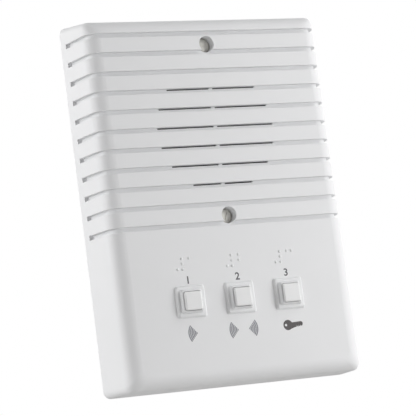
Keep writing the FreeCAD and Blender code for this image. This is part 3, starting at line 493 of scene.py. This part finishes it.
KEY_BOW = (23.2, -96.5)
KEY_BOW_RADIUS = 2.45
KEY_HOLE = (22.15, -96.45)
KEY_HOLE_RADIUS = 0.6
KEY_SPOKES = 32
KEY_BLADE = (
    (25.7, -95.4), (30.3, -95.2), (30.9, -95.55), (31.15, -96.15), (31.05, -96.8), (30.6, -97.35),
    (30.15, -97.35), (29.9, -96.85), (29.65, -97.5), (29.2, -97.5), (28.95, -96.9), (28.7, -97.6),
    (28.2, -97.6), (27.95, -97.0), (27.7, -97.65), (27.1, -97.75), (26.4, -97.9), (25.6, -98.15),
)
# The arc of the bow that closes the blade's outline
KEY_NECK = (-54.0, 32.0)
KEY_NECK_STEPS = 8


def plate(name, outlines, material):
    """Thin printed shapes on the face, from closed outlines of (x, z)."""
    parts = []
    for outline in outlines:
        n = len(outline)
        verts = [mm(x, FACE_Y - INK, z) for x, z in outline]
        verts += [mm(x, FACE_Y + INK, z) for x, z in outline]
        faces = [list(range(n))] + [[i, n + i, n + (i + 1) % n, (i + 1) % n] for i in range(n)]
        parts.append((verts, faces))
    mesh_piece(name, *gathered(parts), material)


def make_labels(materials):
    for i, side in enumerate(SIDES):
        at = (BUTTON_X[side], FACE_Y, LABEL_Z)
        number("label_" + side, str(i + 1), at, LABEL_SIZE, LABEL_WEIGHT, materials["ink_grey"])


def fan_arc(apex, pointing, distance):
    """Points of an arc at that distance in front of the apex."""
    radius = distance + FAN_CENTRE
    spots = []
    for i in range(FAN_STEPS + 1):
        a = (-1 + 2 * i / FAN_STEPS) * math.radians(FAN_HALF)
        r = math.sqrt(radius ** 2 - (FAN_CENTRE * math.sin(a)) ** 2) - FAN_CENTRE * math.cos(a)
        spots.append((apex[0] - pointing * r * math.cos(a), apex[1] + r * math.sin(a)))
    return spots


def make_fans(materials):
    """Sound fans: bands of arc that widen away from the apex."""
    step = FAN_REACH / FAN_BANDS
    for name, (apex, pointing) in FANS.items():
        outlines = []
        for k in range(FAN_BANDS):
            outer = fan_arc(apex, pointing, (k + 1 - FAN_GAP) * step)
            inner = fan_arc(apex, pointing, (k + FAN_GAP) * step)
            outlines.append(outer + inner[::-1])
        plate(name, outlines, materials["ink_pale"])


def make_key(materials):
    """A key: a round bow with a hole, and a blade whose outline follows the bow's edge."""
    n = KEY_SPOKES
    verts, faces = [], []
    for centre, radius in ((KEY_BOW, KEY_BOW_RADIUS), (KEY_HOLE, KEY_HOLE_RADIUS)):
        for height in (-INK, INK):
            verts += [mm(x, FACE_Y + height, z) for x, z in around(centre, radius, n)]
    for i in range(n):
        j = (i + 1) % n
        faces.append([i, j, 2 * n + j, 2 * n + i])
        faces.append([i, n + i, n + j, j])
        faces.append([2 * n + i, 2 * n + j, 3 * n + j, 3 * n + i])
    mesh_piece("key_bow", verts, faces, materials["ink_black"])
    low, high = (math.radians(a) for a in KEY_NECK)
    turns = [low + (high - low) * i / KEY_NECK_STEPS for i in range(KEY_NECK_STEPS + 1)]
    neck = [on_circle(KEY_BOW, KEY_BOW_RADIUS, a) for a in turns]
    plate("key_blade", [list(KEY_BLADE) + neck], materials["ink_black"])


# Cloth behind the speaker slots

CLOTH_RINGS = 33
CLOTH_SPOKES = 96


def make_cloth(materials):
    low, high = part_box("speaker_cloth")
    radius = (high.x - low.x) / 2 / MM
    middle = (low.y + high.y) / 2 / MM
    n = CLOTH_SPOKES
    verts = [mm(0, middle, 0)]
    faces = [[0, 1 + (j + 1) % n, 1 + j] for j in range(n)]
    for i in range(CLOTH_RINGS):
        verts += [mm(x, middle, z) for x, z in around((0, 0), radius * (i + 1) / CLOTH_RINGS, n)]
    for i in range(CLOTH_RINGS - 1):
        a, b = 1 + i * n, 1 + (i + 1) * n
        faces += [[a + j, a + (j + 1) % n, b + (j + 1) % n, b + j] for j in range(n)]
    cloth = mesh_piece("grille_cloth", verts, faces, materials["black_cloth"], slot="black_cloth", sharp=60)
    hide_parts("speaker_cloth")


# Return springs

SPRING_WIRE = 0.225
SPRING_RADIUS = 2.4
SPRING_TURNS = 3
# Where the wire's middle starts and ends along Y
SPRING_ENDS = (-19.845, -15.655)
SPRING_STEPS = 28


def spring_points(centre):
    first, last = SPRING_ENDS
    count = SPRING_TURNS * SPRING_STEPS
    points = []
    for i in range(count + 1):
        x, z = on_circle(centre, SPRING_RADIUS, 2 * math.pi * i / SPRING_STEPS)
        points.append((x, first + (last - first) * i / count, z))
    return points


def make_springs(materials):
    for side in SIDES:
        points = spring_points((BUTTON_X[side], BUTTON_Z))
        holder = bpy.data.objects.new("spring_line", wire_curve("spring_line", points, SPRING_WIRE, "POLY"))
        mesh = bpy.data.meshes.new_from_object(holder)
        bpy.data.objects.remove(holder)
        mesh.materials.append(materials["spring_steel"])
        spring = object_piece("coil_" + side, mesh)
        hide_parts("return_spring_" + side)
        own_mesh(spring)


# Speaker leads from the plug to the tags, and the braids from the tags to the cone

LEAD_RADIUS = 0.65
LEADS = {
    "speaker_lead_a": ("lead_red", (
        (-29.25, -6.8, -50.2), (-29.25, -6.8, -45.524), (-26.9235, -8.505, -41.783),
        (-23.434, -12.38, -38.978), (-21.495, -14.55, -35.611), (-21.495, -14.55, -31.496),
    )),
    "speaker_lead_b": ("lead_black", (
        (-26.75, -6.8, -50.2), (-26.75, -6.8, -45.524), (-23.6735, -8.505, -41.783),
        (-19.059, -12.38, -38.978), (-16.495, -14.55, -35.611), (-16.495, -14.55, -31.496),
    )),
}
BRAID_RADIUS = 0.35
BRAIDS = (
    (
        (-21.495, -14.1, -23.2), (-22.2, -13.3, -19.0), (-22.6, -13.2, -12.0),
        (-20.5, -14.4, -6.0), (-16.5, -16.6, -3.2), (-12.4, -16.3, -2.0),
    ),
    (
        (-16.495, -14.1, -23.2), (-17.6, -13.0, -18.5), (-19.4, -13.0, -11.5),
        (-18.3, -14.2, -6.6), (-15.0, -16.4, -5.2), (-11.4, -16.4, -4.4),
    ),
)


def make_leads(materials):
    for node, (slot, route) in LEADS.items():
        data = wire_curve("wire_" + slot, route, LEAD_RADIUS, "NURBS")
        data.materials.append(materials[slot])
        wire = object_piece("wire_" + slot, data)
        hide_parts(node)
    for i, route in enumerate(BRAIDS):
        data = wire_curve("braid_%d" % i, route, BRAID_RADIUS, "NURBS")
        data.materials.append(materials["braid"])
        object_piece("braid_%d" % i, data)


# Mounting screws with their slot and thread

SCREW_Z = 41.65
# Profile of (radius, y) of the head and the plain shank
SCREW_HEAD = (
    (0.05, -21.5), (1.2, -21.47), (2.1, -21.36), (2.75, -21.12), (3.25, -20.82), (3.62, -20.5),
    (3.72, -20.3), (3.72, -19.45), (3.66, -19.4), (1.5, -19.4), (1.5, -2.5),
)
SCREW_SPOKES = 40
# How far the upper and the lower screw are turned
SLOT_TURNS = (62.0, 18.0)
SLOT_WIDTH = 0.8
SLOT_FLOOR = -21.0
# The cutter of the slot starts in front of the head and reaches past its rim
CUTTER_FRONT = -22.5
CUTTER_REACH = 4.0
CUTTER_FACES = [(0, 1, 2, 3), (7, 6, 5, 4), (0, 4, 5, 1), (1, 5, 6, 2), (2, 6, 7, 3), (3, 7, 4, 0)]

THREAD_START = -3.0
THREAD_END = 9.2
THREAD_PITCH = 0.79
THREAD_ROOT = 1.4
THREAD_CREST = 1.75
# A flank takes up a pitch divided by this number
THREAD_FLANK = 2.7
# Length of the pointed end, and how much thinner the root is at the tip
THREAD_TAPER = 1.2
THREAD_THINNED = 0.45
THREAD_SPOKES = 30
THREAD_ROWS = 10


def thread(z):
    """Helical thread: the radius follows the height above a line that climbs one pitch a turn."""
    rows = round((THREAD_END - THREAD_START) / THREAD_PITCH * THREAD_ROWS)
    verts = []
    for i in range(rows + 1):
        y = THREAD_START + (THREAD_END - THREAD_START) * i / rows
        left = min(1.0, (THREAD_END - y) / THREAD_TAPER)
        for j in range(THREAD_SPOKES):
            phase = ((y - THREAD_START) / THREAD_PITCH - j / THREAD_SPOKES) % 1.0
            flank = min(1.0, max(0.0, THREAD_FLANK / 2 - THREAD_FLANK * abs(phase - 0.5)))
            root = THREAD_ROOT - THREAD_THINNED * (1 - left)
            radius = root + (THREAD_CREST - THREAD_ROOT) * flank * left
            x, height = on_circle((0, z), radius, 2 * math.pi * j / THREAD_SPOKES)
            verts.append(mm(x, y, height))
    return verts, tube_faces(rows + 1, THREAD_SPOKES)


def slot_cutter(z, turn):
    """A box across the head, turned about the screw's axis."""
    reach, half = CUTTER_REACH, SLOT_WIDTH / 2
    a = math.radians(turn)
    corners = []
    for y in (CUTTER_FRONT, SLOT_FLOOR):
        for u, v in ((-reach, -half), (reach, -half), (reach, half), (-reach, half)):
            corners.append(mm(u * math.sin(a) + v * math.cos(a), y, z + u * math.cos(a) - v * math.sin(a)))
    return corners, CUTTER_FACES


def solid_object(name, verts, faces):
    """An object for cutting, with its normals all outwards."""
    data = bpy.data.meshes.new(name)
    data.from_pydata(verts, [], faces)
    work = bmesh.new()
    work.from_mesh(data)
    bmesh.ops.recalc_face_normals(work, faces=work.faces)
    work.to_mesh(data)
    work.free()
    solid = bpy.data.objects.new(name, data)
    link(solid)
    return solid


def slotted_head(z, turn):
    """Pan head with a screwdriver slot cut across, and the plain shank under it."""
    head = solid_object("head", *turned((0, z), SCREW_HEAD, SCREW_SPOKES))
    cutter = solid_object("cutter", *slot_cutter(z, turn))
    cut = head.modifiers.new("slot", "BOOLEAN")
    cut.operation = "DIFFERENCE"
    cut.solver = "EXACT"
    cut.object = cutter
    bpy.context.view_layer.update()
    shaped = bpy.data.meshes.new_from_object(head.evaluated_get(bpy.context.evaluated_depsgraph_get()))
    parts = ([v.co.copy() for v in shaped.vertices], [list(p.vertices) for p in shaped.polygons])
    bpy.data.objects.remove(head)
    bpy.data.objects.remove(cutter)
    return parts


def make_mounting_screws(materials):
    parts = []
    for z, turn in zip((SCREW_Z, -SCREW_Z), SLOT_TURNS):
        parts += [slotted_head(z, turn), thread(z)]
    steel = materials["plated_steel"]
    screws = mesh_piece("box_screws", *gathered(parts), steel, slot="plated_steel", sharp=35)
    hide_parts("mounting_screws")


# Details on the board's back: joints, tracks and print

BOARD_BACK = -9.4
# Profiles of (radius, y) of a solder joint round a thin leg and round a switch's pin
JOINT = (
    (1.05, -9.5), (1.05, -9.36), (0.86, -9.28), (0.6, -9.05), (0.42, -8.7),
    (0.34, -8.45), (0.3, -8.42), (0.3, -8.1), (0.22, -8.0),
)
SWITCH_JOINT = (
    (1.25, -9.5), (1.25, -9.36), (1.1, -9.28), (0.85, -9.05), (0.68, -8.75), (0.6, -8.55), (0.4, -8.5),
)
JOINT_PLACES = (
    (18.92, -57.0), (29.08, -57.0), (29.08, -61.0), (29.08, -65.0), (-18.92, -57.0),
    (-29.08, -61.2), (-37.25, -63.0), (-34.75, -63.0), (34.75, -65.0), (37.25, -65.0),
)
SWITCH_PIN_REACH = 5.0

TRACK_WIDTH = 1.1
TRACK_HEIGHT = 0.06
# Each track stands this much lower than the one before, and each bus higher, so that none share a plane
TRACK_STEP = 0.0005
TRACKS = (
    ((-42.0, -94.0), (-42.0, -70.0), (-37.25, -65.25), (-37.25, -63.0)),
    ((-20.8, -76.4), (-20.8, -72.0), (-17.5, -68.7), (-17.5, -66.0)),
    ((5.0, -76.4), (5.0, -73.0), (2.5, -70.5), (2.5, -66.0)),
    ((30.8, -76.4), (30.8, -72.0), (29.08, -70.3), (29.08, -65.0)),
    ((-5.0, -76.4), (-5.0, -73.0), (-7.5, -70.5), (-7.5, -66.0)),
    ((20.8, -76.4), (20.8, -72.5), (17.5, -69.2), (17.5, -66.0)),
    ((-30.8, -76.4), (-30.8, -71.0), (-34.75, -67.05), (-34.75, -63.0)),
    ((-29.08, -61.2), (-29.08, -64.5), (-26.6, -67.0), (-19.0, -67.0)),
    ((-26.75, -53.9), (-26.75, -52.8), (-20.0, -52.8), (-18.92, -53.9), (-18.92, -57.0)),
    ((18.92, -57.0), (18.92, -54.5), (17.0, -52.6), (-12.0, -52.6), (-14.0, -54.6), (-14.0, -60.0)),
    ((29.08, -57.0), (33.5, -57.0), (34.75, -58.25), (34.75, -65.0)),
    ((29.08, -61.0), (25.0, -61.0), (23.0, -63.0), (19.0, -63.0)),
    ((37.25, -65.0), (37.25, -69.0), (41.0, -72.75), (41.0, -94.0), (37.0, -98.0), (30.8, -98.0)),
)
BUS_WIDTH = 2.4
BUSES = (
    ((-42.0, -94.0), (-38.0, -98.0), (31.4, -98.0)),
    ((-30.8, -86.4), (-30.8, -98.0)),
    ((-5.0, -86.4), (-5.0, -98.0)),
    ((20.8, -86.4), (20.8, -98.0)),
)
# Least cosine that a mitre is worked out with, which keeps a sharp corner from reaching far out
LEAST_MITRE = 0.3

# Printed outlines round the terminal block and the header: lowest and highest x, lowest and highest z
PRINT_BOXES = ((-20.7, 20.7, -68.2, -57.8), (-32.4, -23.6, -60.5, -53.5))
PRINT_LINE = 0.22
PRINT_RISE = 0.02
WAYS = 8
WAY_PITCH = 5.0
WAY_NUMBER_Z = -55.4
WAY_NUMBER_SIZE = 2.1
WAY_NUMBER_WEIGHT = 0.02


def ribbon(points, width, height):
    """Flat strip along (x, z) points with mitred corners, standing on the board's back."""
    spots = [Vector(p) for p in points]
    left, right = [], []
    for i, at in enumerate(spots):
        before = (at - spots[i - 1]).normalized() if i else (spots[1] - at).normalized()
        after = (spots[i + 1] - at).normalized() if i + 1 < len(spots) else before
        across = Vector((-(before + after).y, (before + after).x)).normalized()
        half = width / 2 / max(LEAST_MITRE, across.dot(Vector((-before.y, before.x))))
        left.append(at + across * half)
        right.append(at - across * half)
    n = len(spots)
    verts = [mm(p.x, BOARD_BACK + height, p.y) for p in left + right]
    verts += [mm(p.x, BOARD_BACK - height, p.y) for p in left + right]
    faces = []
    for i in range(n - 1):
        faces.append([i, i + 1, n + i + 1, n + i])
        faces.append([i, 2 * n + i, 2 * n + i + 1, i + 1])
        faces.append([n + i + 1, 3 * n + i + 1, 3 * n + i, n + i])
    faces.append([0, n, 3 * n, 2 * n])
    faces.append([n - 1, 3 * n - 1, 4 * n - 1, 2 * n - 1])
    return verts, faces


def make_board_joints(materials):
    joints = [turned(spot, JOINT) for spot in JOINT_PLACES]
    for side in SIDES:
        for u in (-SWITCH_PIN_REACH, SWITCH_PIN_REACH):
            for v in (-SWITCH_PIN_REACH, SWITCH_PIN_REACH):
                joints.append(turned((BUTTON_X[side] + u, BUTTON_Z + v), SWITCH_JOINT))
    mesh_piece("board_joints", *gathered(joints), materials["solder"], sharp=50)


def make_board_tracks(materials):
    tracks = [ribbon(t, TRACK_WIDTH, TRACK_HEIGHT - TRACK_STEP * i) for i, t in enumerate(TRACKS)]
    tracks += [ribbon(t, BUS_WIDTH, TRACK_HEIGHT + TRACK_STEP * (i + 1)) for i, t in enumerate(BUSES)]
    mesh_piece("board_tracks", *gathered(tracks), materials["covered_copper"])


def make_board_print(materials):
    """Outlines round the terminal block and the header, and the numbers of the block's ways."""
    lines = []
    for x0, x1, z0, z1 in PRINT_BOXES:
        corners = ((x0, z0), (x1, z0), (x1, z1), (x0, z1))
        for i in range(4):
            ends = (corners[i], corners[(i + 1) % 4])
            lines.append(ribbon(ends, PRINT_LINE, TRACK_HEIGHT + PRINT_RISE))
    mesh_piece("board_print", *gathered(lines), materials["print_white"])
    for i in range(WAYS):
        at = (((WAYS - 1) / 2 - i) * WAY_PITCH, BOARD_BACK + TRACK_HEIGHT, WAY_NUMBER_Z)
        name = "way_%d" % (i + 1)
        number(name, str(i + 1), at, WAY_NUMBER_SIZE, WAY_NUMBER_WEIGHT, materials["print_white"], 180.0)


# Details on the speaker: solder and eyelets on the tags, glue where the braids meet the cone

TAG_XS = (-21.495, -16.495)
TAG_JOINT = ((1.0, -14.4), (1.0, -14.25), (0.85, -14.0), (0.55, -13.8), (0.2, -13.74))
TAG_JOINT_ZS = (-30.4, -23.4)
EYELET = ((0.95, -14.4), (0.95, -14.1), (0.8, -14.0), (0.6, -14.02), (0.5, -14.15), (0.45, -14.4))
EYELET_Z = -26.8
GLUE = ((1.5, -17.2), (1.45, -16.5), (1.2, -16.15), (0.7, -15.95), (0.2, -15.9))
GLUE_PLACES = ((-12.2, -2.0), (-11.2, -4.4))


def make_speaker_details(materials):
    blobs = [turned((x, z), TAG_JOINT) for x in TAG_XS for z in TAG_JOINT_ZS]
    mesh_piece("tag_joints", *gathered(blobs), materials["solder"], sharp=50)
    eyelets = [turned((x, EYELET_Z), EYELET) for x in TAG_XS]
    mesh_piece("tag_eyelets", *gathered(eyelets), materials["tinned_brass"], slot="tinned_brass", sharp=40)
    glue = [turned(spot, GLUE) for spot in GLUE_PLACES]
    mesh_piece("cone_glue", *gathered(glue), materials["black_rubber"], slot="black_rubber", sharp=60)


bpy.context.scene.view_settings.view_transform = "Standard"
make_camera()
make_floor()
make_world()
make_lamps()
materials = make_materials()
dress_nodes(materials)
make_labels(materials)
make_fans(materials)
make_key(materials)
make_cloth(materials)
make_springs(materials)
make_leads(materials)
make_mounting_screws(materials)
make_board_joints(materials)
make_board_tracks(materials)
make_board_print(materials)
make_speaker_details(materials)
